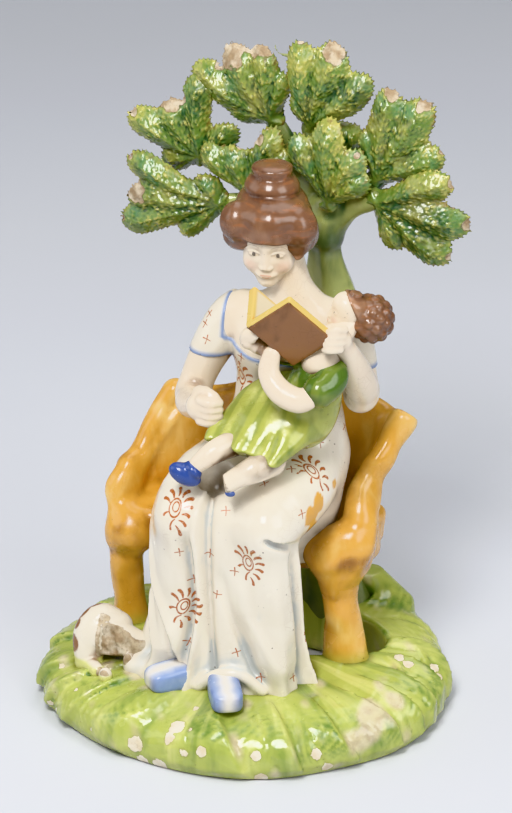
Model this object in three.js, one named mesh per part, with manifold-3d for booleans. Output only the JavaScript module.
// Glazed earthenware figure group: a lady on a rustic bench reads with a child on her lap,
// before a tree of leaf sprays, on a round grassy mound. Millimetres, +Z up, the lady faces -Y.
// The group was pressed in moulds, joined with slip and fired as one piece, so it is one solid.
import * as THREE from 'three';
import { mergeVertices } from 'three/addons/utils/BufferGeometryUtils.js';
import Module from 'manifold-3d';

// Driving dimensions
const BASE = { halfWide: 60.5, halfDeep: 57, high: 17.5, leaves: 15 };
const WELL = { x: 0, y: 12.5, halfWide: 38.5, halfDeep: 17 };
const BENCH = { seatTop: 59, seatUnder: 46, wall: 3.2, foot: 10 };
const LADY = { waistZ: 104, shoulderZ: 127, headZ: 148.5, hairTopZ: 173.5, hemZ: 15 };
const HAIR = { x: 3.6, y: 5, rings: 5 };
const SKIRT = { folds: 11, hemRipple: 0.055, grooveDepth: 0.2 };
const BOOK = { high: 19.5, wide: 16.8, leafThick: 3.2 };
const TREE = { x: 13, y: 33, neckZ: 137, forkZ: 148 };
const SPRAY = { stalk: 0.45, heart: 2, fanShare: 0.86, thick: 2.6, bulge: 2.6, rim: 1.16 };

// The forms are set out from the middle of the well's front edge, and then moved so that the origin
// is the middle of the whole group's footprint.
const CENTRE_SHIFT = [2.55, 0.2, 0];

const wasm = await Module();
wasm.setup();

const degrees = THREE.MathUtils.degToRad;

// Turns a closed three.js geometry into a solid that can be joined and cut.
function solid(geometry) {
  const bare = geometry.index ? geometry.clone() : geometry;
  bare.deleteAttribute('normal');
  bare.deleteAttribute('uv');
  const merged = mergeVertices(bare, 1e-4);
  const mesh = new wasm.Mesh({
    numProp: 3,
    vertProperties: new Float32Array(merged.attributes.position.array),
    triVerts: new Uint32Array(merged.index.array),
  });
  return new wasm.Manifold(mesh);
}

function join(parts) {
  return parts.reduce((all, part) => all.add(part));
}

// Moves every vertex of a geometry by a function of its place.
function reshape(geometry, place) {
  const position = geometry.attributes.position;
  const vertex = new THREE.Vector3();
  for (let i = 0; i < position.count; i += 1) {
    place(vertex.fromBufferAttribute(position, i));
    position.setXYZ(i, vertex.x, vertex.y, vertex.z);
  }
  return geometry;
}

// An ellipsoid at a place, turned about X, Y and Z in degrees.
function ball(at, radii, turn = [0, 0, 0], around = 8, down = 6) {
  const geometry = new THREE.SphereGeometry(1, around, down);
  geometry.rotateX(Math.PI / 2);
  geometry.scale(...radii);
  geometry.rotateX(degrees(turn[0]));
  geometry.rotateY(degrees(turn[1]));
  geometry.rotateZ(degrees(turn[2]));
  geometry.translate(...at);
  return solid(geometry);
}

// A closed limb: oval sections along a smooth curve. A station is [x, y, z, half width, half depth],
// the width lies along the direction 'across' as far as the curve allows, and 'blunt' rounds the end.
function limb(stations, { across = [1, 0, 0], sides = 8, rows = 4, blunt = false, section } = {}) {
  const path = new THREE.CatmullRomCurve3(stations.map(([x, y, z]) => new THREE.Vector3(x, y, z)));
  const sizes = new THREE.SplineCurve(stations.map(([, , , w, d = w]) => new THREE.Vector2(w, d)));
  const along = new THREE.Vector3();
  const side = new THREE.Vector3();
  const front = new THREE.Vector3();
  const geometry = new THREE.CylinderGeometry(1, 1, 1, sides, rows);
  return solid(reshape(geometry, (vertex) => {
    const t = THREE.MathUtils.clamp(vertex.y + 0.5, 0, 1);
    const centre = path.getPoint(t);
    const size = sizes.getPoint(t);
    if (blunt) size.multiplyScalar(Math.sqrt(1 - 0.8 * Math.max(0, (t - 0.75) / 0.25) ** 2));
    along.copy(path.getTangent(t));
    side.set(...across).addScaledVector(along, -along.dot(side)).normalize();
    front.crossVectors(side, along);
    const bend = section ? section(Math.atan2(vertex.z, vertex.x), t) : 1;
    const u = vertex.x * size.x * bend;
    const v = vertex.z * size.y * bend;
    vertex.copy(centre).addScaledVector(side, u).addScaledVector(front, v);
  }));
}

// A smooth hump of height 1 about an angle, in radians.
function hump(angle, about, spread) {
  const away = Math.atan2(Math.sin(angle - about), Math.cos(angle - about));
  return Math.exp(-((away / spread) ** 2));
}

// The mound: a round-shouldered disc with broad leaves raying down its side, open in an oval well.
function baseSolid() {
  const profile = [
    [0, 0], [0.96, 0], [1, 4], [0.98, 9], [0.91, 13.4], [0.78, 16], [0.5, 17.1], [0, 17.5],
  ].map(([r, z]) => new THREE.Vector2(r, z * (BASE.high / 17.5)));
  const geometry = new THREE.LatheGeometry(profile, 60);
  geometry.rotateX(Math.PI / 2);
  reshape(geometry, (vertex) => {
    const angle = Math.atan2(vertex.y, vertex.x);
    const ring = Math.hypot(vertex.x, vertex.y);
    const leftFront = 0.108 * hump(angle, degrees(-158), degrees(34));
    const notch = 0.03 * hump(angle, degrees(-48), degrees(16));
    const leaf = Math.abs(Math.sin((angle * BASE.leaves) / 2 + 0.4));
    const shoulder = THREE.MathUtils.smoothstep(ring, 0.55, 0.95);
    const grow = 1 + leftFront - notch - 0.022 * shoulder * (1 - leaf);
    vertex.x *= BASE.halfWide * grow;
    vertex.y *= BASE.halfDeep * grow;
    if (vertex.z > 6) {
      const back = THREE.MathUtils.smoothstep(vertex.y, 5, 50) * (1 - ring) * 6;
      vertex.z += back + 1.1 * shoulder * (leaf - 0.6);
    }
  });
  const wellShape = new THREE.CylinderGeometry(1, 0.95, BASE.high * 3, 28);
  wellShape.rotateX(Math.PI / 2);
  wellShape.scale(WELL.halfWide, WELL.halfDeep, 1);
  wellShape.translate(WELL.x, WELL.y, 0);
  return { mound: solid(geometry), well: solid(wellShape) };
}

// The bench's scooped back and arms: one bent wall, low at the front and high behind.
function benchWall() {
  const plan = new THREE.CatmullRomCurve3([
    [-42.5, -3], [-42.5, 5], [-37, 15], [-24, 21.5], [4, 23], [24, 21.5], [30.5, 14], [32, 6], [31, -3],
  ].map(([x, y]) => new THREE.Vector3(x, y, 0)));
  const tops = new THREE.SplineCurve([
    [0, 58], [0.09, 62], [0.2, 72], [0.31, 87], [0.5, 96], [0.69, 91], [0.79, 74], [0.9, 65], [1, 60],
  ].map(([s, z]) => new THREE.Vector2(s, z)));
  const geometry = new THREE.BoxGeometry(1, 1, 1, 18, 1, 2);
  return solid(reshape(geometry, (vertex) => {
    const s = vertex.x + 0.5;
    const high = vertex.z + 0.5;
    const centre = plan.getPoint(s);
    const tangent = plan.getTangent(s);
    const top = tops.getPoint(s).y;
    const z = BENCH.seatUnder + 1 + high * (top - BENCH.seatUnder - 1);
    const lean = Math.max(0, z - BENCH.seatTop) / 40;
    const wall = BENCH.wall * (1.1 - 0.25 * high);
    const out = vertex.y * 2 * wall;
    const spread = centre.x > 0 ? centre.x * 0.5 * lean ** 2 : -centre.x * 0.12 * lean;
    vertex.set(centre.x - tangent.y * out + spread, centre.y + tangent.x * out + 3 * lean, z);
  }));
}

function benchSolid() {
  const { seatTop, seatUnder, foot } = BENCH;
  const seat = new THREE.BoxGeometry(76, 28, seatTop - seatUnder, 2, 2, 1);
  reshape(seat, (vertex) => {
    vertex.y *= vertex.z < 0 ? 0.9 : 1;
  });
  seat.translate(-3, 9.5, (seatTop + seatUnder) / 2);
  const leftLeg = limb([
    [-42, 3.5, foot, 6.8, 6.2], [-42, 2.5, 22, 5.4, 5.2], [-41.8, 0.5, 36, 5, 5], [-40.5, -1, 50, 6.5, 6.8],
  ]);
  const rightLeg = limb([
    [29.5, 0.5, foot, 8.6, 6.4], [28.8, -0.5, 22, 6.3, 5.2], [27.6, -1.5, 36, 5.3, 5.2],
    [27, -3, 52, 8.2, 7],
  ]);
  const leftBlock = ball([-39.5, -1.5, 51.5], [7.4, 8.6, 8.2], [0, 8, 0]);
  const rightBlock = ball([27.4, -3, 54.6], [10.6, 8.2, 8], [0, -20, 0]);
  const leftKnee = limb([[-41, 3, 52, 5, 6], [-43.6, 1.5, 61, 4.4, 5], [-42.8, 6, 67.5, 3.6, 4.6]], { rows: 3 });
  const rightKnob = limb([[31, 0, 52, 5.4, 6.4], [33.6, 1, 63, 5, 5.6], [32, 7, 70, 4.2, 5]], { rows: 3 });
  const leftRail = limb([
    [-42.6, 4, 65, 3.8, 4.6], [-40.6, 12, 71, 3.8, 4.4], [-36.6, 19, 81, 3.9, 4.2], [-33.4, 22, 87.5, 4, 4.6],
  ]);
  const rightRail = limb([
    [32.6, 3, 65, 4.4, 4.8], [32, 8, 71, 3.8, 4.6], [36.2, 14.5, 80.5, 3.9, 4.6], [40.4, 20, 89, 4.2, 5],
  ]);
  return join([
    solid(seat), benchWall(), leftLeg, rightLeg, leftBlock, rightBlock, leftKnee, rightKnob,
    leftRail, rightRail,
  ]);
}

// How far the skirt's surface stands out at an angle and a height fraction: fine folds that deepen
// toward the hem, and one deep pair of folds between the knees.
function skirtFold(angle, t) {
  const hem = 1 - t;
  const ripple = SKIRT.hemRipple * hem ** 1.5 * Math.cos(SKIRT.folds * angle + 0.6);
  const knee = THREE.MathUtils.smoothstep(1 - t, 0.1, 0.4);
  const groove = SKIRT.grooveDepth * knee * hump(angle, degrees(94), degrees(7));
  const beside = 0.07 * knee * (hump(angle, degrees(110), degrees(9)) + hump(angle, degrees(76), degrees(9)));
  return 1 + ripple - groove + beside;
}

function skirtSolid() {
  const fall = limb([
    [-4.4, -17, LADY.hemZ, 29, 16.5], [-4.4, -17, 27, 25.4, 15.4], [-4.4, -18, 39, 21.8, 15],
    [-4.2, -18.4, 52, 21.4, 15.6], [-3.4, -18.4, 65, 23, 16.6], [-1.6, -17, 76, 21, 16],
    [0, -13, 85, 12, 10],
  ], { sides: 36, rows: 9, section: skirtFold });
  const hips = limb([
    [7, 1, 50, 15, 9], [7.4, 2, 66, 18.6, 12], [8, 3, 82, 19.4, 12.6], [9, 4, 94, 17.6, 11],
    [9.4, 4.6, LADY.waistZ, 14.6, 9.2],
  ], { sides: 12 });
  const leftThigh = limb([
    [4, 6, 84, 12, 11], [-4, -8, 80, 12.6, 11.6], [-10.5, -20, 76, 11.4, 10.8], [-12.5, -33, 73, 8.5, 8.5],
  ], { sides: 12, blunt: true });
  const rightThigh = limb([
    [14, 6, 82, 13, 11], [16.5, -8, 78, 11.6, 11], [14.5, -21, 75, 10.6, 10.6], [12.5, -34, 72, 8, 8],
  ], { sides: 12, blunt: true });
  return join([fall, hips, leftThigh, rightThigh]);
}

function shoe(at, heading) {
  const geometry = new THREE.SphereGeometry(1, 9, 6);
  geometry.rotateX(Math.PI / 2);
  geometry.scale(4.1, 8.4, 4.2);
  reshape(geometry, (vertex) => {
    const toe = THREE.MathUtils.smoothstep(-vertex.y, 0, 8);
    vertex.x *= 1 - 0.28 * toe;
    vertex.z *= 1 - 0.3 * toe;
  });
  geometry.rotateZ(degrees(heading));
  geometry.translate(...at);
  return solid(geometry);
}

function ladyBody() {
  const torso = limb([
    [9.4, 4.8, LADY.waistZ - 6, 14.8, 9.6], [9.4, 4.4, 107, 13.4, 8.6], [9, 2.4, 118, 16.4, 11.4],
    [9, 5, LADY.shoulderZ - 1, 17.6, 9.6], [10.2, 5, 131.6, 11, 7.6], [10.6, 3.8, 137, 6, 6], [9, 3, 143, 5.6, 6],
  ], { sides: 12, rows: 8 });
  const leftUpper = limb([
    [2, 5, 124.5, 7, 6.6], [-6.4, 5.4, 124, 7.4, 6.8], [-12.6, 3.4, 116, 6.4, 6.2],
    [-17, 1.5, 107, 5.4, 5.4], [-19.4, -1, 98.6, 5, 5],
  ], { across: [0, 1, 0], rows: 6, blunt: true });
  const leftFore = limb([
    [-19.4, 1, 99.5, 4.6, 4.6], [-17.6, -8, 99.5, 4.7, 4.7], [-13, -16, 102.5, 3.9, 3.9],
    [-9.5, -20, 104.5, 3.6, 3.6],
  ]);
  const leftHand = ball([-8.4, -20, 104.4], [6, 5, 5.4], [0, 0, 30]);
  const rightUpper = limb([
    [16, 6, 125, 6.6, 6.6], [23, 7, 124.4, 6.8, 6.6], [28, 7, 117.4, 5.9, 5.8], [31, 5, 110, 5.1, 5.1],
    [32.4, 1, 104, 4.8, 4.8],
  ], { across: [0, 1, 0], rows: 6, blunt: true });
  const rightFore = limb([
    [32.6, 3, 104.8, 4.8, 4.8], [33.8, -3, 109.6, 5, 5], [33, -9.6, 118, 4.4, 4.4],
    [31.8, -16, 126.8, 3.3, 3.3],
  ]);
  const rightHand = ball([30.8, -18.8, 131], [3.3, 3.5, 4.8], [20, 0, 0], 8, 5);
  const leftShoe = shoe([-17.6, -32, 20], -58);
  const rightShoe = shoe([3.2, -38.6, 20], 26);
  return join([
    skirtSolid(), torso, leftUpper, leftFore, leftHand, rightUpper, rightFore, rightHand,
    leftShoe, rightShoe,
  ]);
}

// The lady's head, a plain calm oval under a tall dressed coil of hair.
function ladyHead() {
  const z = LADY.headZ;
  const face = ball([5.4, 1.6, z], [9.1, 10.4, 12], [-6, 0, 0], 10, 8);
  const chin = ball([4.8, -5.6, z - 7], [4, 3.4, 3.6], [0, 0, 0], 8, 5);
  const nose = ball([4.6, -9, z - 2], [1.3, 1.9, 2.6], [18, 0, 0], 6, 5);
  const heights = [[0, 0], [8.5, 0], [13, 2.4], [14, 6.6], [13.2, 10.8], [11.6, 13.6], [10.4, 17], [8.6, 20.2],
    [7.2, 23.4], [6, 26.2], [5.4, 28.2], [3.4, 29.4], [0, 29.6]];
  const low = LADY.hairTopZ - 29.6;
  const coil = new THREE.LatheGeometry(heights.map(([r, h]) => new THREE.Vector2(r, h)), 18);
  coil.rotateX(Math.PI / 2);
  reshape(coil, (vertex) => {
    const turn = Math.atan2(vertex.y, vertex.x) / (2 * Math.PI);
    const wave = Math.cos(2 * Math.PI * (vertex.z / (29.6 / HAIR.rings) + turn));
    const grow = vertex.z > 11 ? 1 + 0.045 * wave : 1;
    vertex.x *= grow;
    vertex.y *= grow;
  });
  coil.translate(HAIR.x, HAIR.y, low);
  const rolls = [[-3, -2.4, 153, 6.4], [4.8, -4.2, 154.8, 7], [11.6, -0.6, 153.4, 6.4]]
    .map(([x, y, height, r]) => ball([x, y, height], [r, r, r * 0.86], [0, 0, 0], 9, 6));
  const curls = [[12.4, -2.4, 147.4, 2.7], [-5.4, -1.4, 146.6, 2.4]]
    .map(([x, y, height, r]) => ball([x, y, height], [r, r, r * 1.2], [0, 0, 0], 6, 4));
  return join([face, chin, nose, solid(coil), ...rolls, ...curls]);
}

function childSolid() {
  const hair = ball([37.1, -5.6, 133.2], [7.2, 7.5, 7.6], [0, 0, 0], 10, 7);
  const face = ball([30.2, -9.2, 134.8], [5.2, 5.2, 5.4]);
  const torso = limb([
    [32.4, -10.5, 131, 3.8, 3.8], [27.6, -14.4, 125.8, 5.6, 5], [24.8, -16, 118.4, 7, 6.4],
    [22, -15, 109.6, 9, 7.6], [18, -14, 102, 10, 8],
  ], { sides: 9, rows: 5 });
  const skirt = limb([
    [19, -12, 106, 11.5, 7.5], [12.5, -16, 103.4, 13.8, 6.6], [8.2, -23, 99.2, 13, 5.2],
    [5, -29.6, 94.6, 12.2, 3.6],
  ], { across: [0.93, -0.32, -0.17], sides: 12 });
  const nearArm = limb([
    [29.4, -17.4, 120, 4.2, 4.2], [30.2, -22, 117.4, 4.2, 4.1], [23.4, -27.2, 114.4, 3.9, 3.9],
    [16.6, -27.4, 116.2, 3.3, 3.3], [12.6, -26, 120.6, 2.6, 2.6], [12.4, -24.8, 126, 2.4, 2.4],
  ], { across: [0, -0.6, 0.8], sides: 7, rows: 9 });
  const farArm = limb([
    [23, -15, 123, 3.4, 3.4], [15, -18.6, 124.6, 3.2, 3.2], [8.6, -22.4, 127.4, 2.7, 2.7],
  ], { across: [0, 0, 1], sides: 7, rows: 3 });
  const farHand = ball([5.6, -24, 130.4], [2.9, 2.9, 3.6], [0, 0, 0], 8, 5);
  const farLeg = limb([
    [3, -22, 95, 4.2, 4.2], [-2.6, -29, 94, 3.4, 3.4], [-7, -32.6, 90.6, 2.6, 2.6], [-9.6, -33.6, 88, 2.4, 2.4],
  ], { rows: 3, sides: 7 });
  const farShoe = ball([-9.8, -34, 88.4], [5, 2.8, 2.8], [0, 32, 20], 8, 5);
  const nearLeg = limb([
    [13, -26, 92.6, 4.8, 4.8], [10.6, -32, 92.4, 4.2, 4.2], [6.4, -35.4, 90.6, 3.2, 3.2],
    [3.4, -37, 88.6, 2.9, 2.9],
  ], { rows: 3, sides: 7 });
  return join([hair, face, torso, skirt, nearArm, farArm, farHand, farLeg, farShoe, nearLeg]);
}

// The open book: two thick leaves that meet at a slanting spine, covers outward.
function bookSolid() {
  const spineTop = new THREE.Vector3(6.7, -28, 136);
  const spine = new THREE.Vector3(0.602, 0.377, -0.704);
  const leafDirections = [new THREE.Vector3(0.775, -0.065, 0.628), new THREE.Vector3(-0.243, 0.925, 0.288)];
  return join(leafDirections.map((leaf) => {
    const outward = new THREE.Vector3().crossVectors(spine, leaf).normalize();
    const cover = new THREE.BoxGeometry(BOOK.high, BOOK.wide, BOOK.leafThick);
    const centre = spineTop.clone().addScaledVector(spine, BOOK.high / 2).addScaledVector(leaf, BOOK.wide / 2);
    const frame = new THREE.Matrix4().makeBasis(spine, leaf, outward).setPosition(centre);
    cover.applyMatrix4(frame);
    return solid(cover);
  }));
}

// A spray of leaf lobes that fan out from its base in an upright plane. A lobe is [direction, reach,
// half width], its direction in degrees from +X toward +Z. It widens from the base and has a round tip.
function lobeReach(away, reach, wide) {
  const cos = Math.cos(away);
  const sin = Math.abs(Math.sin(away));
  if (cos <= 0) return SPRAY.stalk * wide;
  const widening = (SPRAY.stalk * wide) / Math.max(sin - (2 * (1 - SPRAY.stalk) * wide * cos) / reach, 0.001);
  const side = Math.min(widening, wide / Math.max(sin, 0.001));
  const neck = reach - wide;
  if (side * cos <= neck) return side;
  return neck * cos + Math.sqrt(Math.max(0, wide ** 2 - (neck * sin) ** 2));
}

function spraySolid({ base, lobes }) {
  const geometry = new THREE.SphereGeometry(1, 40, 3);
  const first = degrees(lobes[0][0]);
  const last = degrees(lobes[lobes.length - 1][0]);
  const middle = (first + last) / 2;
  const fan = Math.abs(last - first) / 2 + degrees(20);
  const furthest = Math.max(...lobes.map(([, reach]) => reach));
  return solid(reshape(geometry, (vertex) => {
    const ring = Math.min(1, Math.hypot(vertex.x, vertex.z) * SPRAY.rim);
    const round = Math.atan2(vertex.z, vertex.x);
    const share = Math.abs(round) / Math.PI;
    // Most of the outline's edges lie in the fan, and the rest close it behind the base.
    const opened = share < SPRAY.fanShare ? (share / SPRAY.fanShare) * fan
      : fan + ((share - SPRAY.fanShare) / (1 - SPRAY.fanShare)) * (Math.PI - fan);
    const angle = middle + Math.sign(round) * opened;
    const outline = Math.max(SPRAY.heart, ...lobes.map(([direction, reach, wide]) => {
      const away = angle - degrees(direction);
      return lobeReach(away, reach, wide);
    }));
    const thick = SPRAY.thick * (1 - 0.62 * ring ** 2) * Math.sign(vertex.y);
    const along = (ring * outline * Math.cos(angle - middle)) / furthest;
    const bow = -SPRAY.bulge * (1 - (2 * along - 1) ** 2);
    vertex.set(
      base[0] + Math.cos(angle) * ring * outline,
      base[1] + bow + thick,
      base[2] + Math.sin(angle) * ring * outline,
    );
  }));
}

const SPRAYS = [
  {
    base: [-4.5, 30, 176.9],
    lobes: [[167, 13, 4.6], [149, 28.5, 5], [121, 26.5, 5.6], [98, 24, 4.6], [76, 16, 3.2]],
  },
  { base: [7.8, 29, 176.3], lobes: [[121, 10, 3.2], [98, 27, 4.4], [73, 28.5, 5.6], [43, 26, 5]] },
  { base: [28.9, 27, 163.1], lobes: [[101, 15.5, 3.4], [82, 29.5, 4.8], [59, 30.5, 5.4], [28, 23.5, 5.2]] },
  { base: [29.8, 24, 157.6], lobes: [[22, 25.5, 4.8], [-10, 29.5, 5.6], [-36, 28.5, 4.8], [-61, 16, 4.2]] },
  {
    base: [-26.9, 29, 163.6],
    lobes: [[40, 15.5, 4.4], [91, 26, 4.8], [122, 20, 5.4], [152, 25, 5], [196, 12.5, 4.2]],
  },
  {
    base: [-19, 24, 150.8],
    lobes: [[125, 11, 4.2], [158, 31.5, 4.4], [180, 29.5, 5], [197, 33, 4.6], [225, 16, 3.6]],
  },
  { base: [-9.8, 24.5, 154.6], lobes: [[133, 20.5, 4.4], [109, 16.5, 5], [70, 23.5, 4.4], [48, 19.5, 3.6]] },
  { base: [15, 23.5, 155.6], lobes: [[116, 23, 4.4], [90, 26.5, 5], [60, 20.5, 4.4], [36, 16, 4]] },
  { base: [19, 34, 168.8], lobes: [[123, 11, 4.6], [75, 9.5, 4]] },
];

// The tree: a flared stump behind the bench, a narrow neck and a branch to the base of each spray.
function treeSolid() {
  const { x, y, neckZ, forkZ } = TREE;
  const trunk = limb([
    [x + 2.5, y + 8, 8, 19, 12], [x + 1, y + 4, 18, 13, 9.5], [x + 0.4, y + 1.6, 32, 9.6, 8.4],
    [x, y, 60, 9, 7.6], [x + 1, y, 95, 9.4, 7.4], [x + 0.8, y, 120, 8.2, 6.8], [x - 1.2, y - 1, neckZ, 4.6, 4.6],
    [x - 0.6, y - 2.6, forkZ, 6, 4.6],
  ], { sides: 11, rows: 8 });
  const branches = SPRAYS.map(({ base }) => limb([
    [x - 1, y - 2, neckZ + 5, 4, 3.6],
    [x - 1 + (base[0] - x) * 0.4, (y + base[1]) / 2, forkZ + (base[2] - forkZ) * 0.4, 4.4, 3],
    [base[0], base[1] + 0.5, base[2], 3, 2.2],
  ], { across: [base[2] - forkZ, 0, x - base[0]], sides: 6, rows: 2 }));
  return join([trunk, ...branches, ...SPRAYS.map(spraySolid)]);
}

// What is left of a crouching dog at the lady's side: its back, a broken flank and its paws.
function dogSolid() {
  const back = limb([
    [-45.4, -24.5, 15, 4.4, 4.6], [-46.2, -22, 23, 5, 6], [-43, -19.5, 27.5, 5.4, 5.4], [-38, -19, 25.6, 5, 5],
  ]);
  const flank = limb([
    [-44, -22, 23, 5.6, 6], [-37, -22.6, 23.6, 5.6, 5.8], [-30, -21.5, 22.2, 4, 4], [-24, -19, 22, 3, 3],
  ], { across: [0, 1, 0], rows: 4, sides: 7 });
  const paw = limb([[-46, -25, 15.5, 2.8, 2.8], [-40.4, -31, 16, 2.5, 2.3]], { rows: 1, sides: 6 });
  const stub = ball([-36.4, -34.6, 16.8], [2.1, 2, 2.8], [0, 0, 20], 6, 4);
  const foot = ball([-31.8, -26.4, 18.4], [2, 2, 3.4], [0, 0, 0], 6, 4);
  return join([back, flank, paw, stub, foot]);
}

const { mound, well } = baseSolid();
const joined = join([
  mound, treeSolid(), benchSolid(), ladyBody(), ladyHead(), childSolid(), bookSolid(), dogSolid(),
]).subtract(well);
// Pockets of air shut in between the joined forms have shells of negative volume, and are filled.
const group = join(joined.decompose().filter((shell) => shell.volume() > 0));

function meshOf(name, whole, colour, roughness) {
  const { vertProperties, triVerts, numProp } = whole.getMesh();
  const points = new Float32Array((vertProperties.length / numProp) * 3);
  for (let i = 0; i < points.length / 3; i += 1) {
    points.set(vertProperties.subarray(i * numProp, i * numProp + 3), i * 3);
  }
  const geometry = new THREE.BufferGeometry();
  geometry.setAttribute('position', new THREE.BufferAttribute(points, 3));
  geometry.setIndex(new THREE.BufferAttribute(new Uint32Array(triVerts), 1));
  geometry.computeVertexNormals();
  const material = new THREE.MeshStandardMaterial({ color: colour, roughness, metalness: 0 });
  const mesh = new THREE.Mesh(geometry, material);
  mesh.name = name;
  mesh.position.set(...CENTRE_SHIFT);
  return mesh;
}

const model = new THREE.Group();
model.add(meshOf('figure_group', group, 0xcfc9a6, 0.18));

export default model;
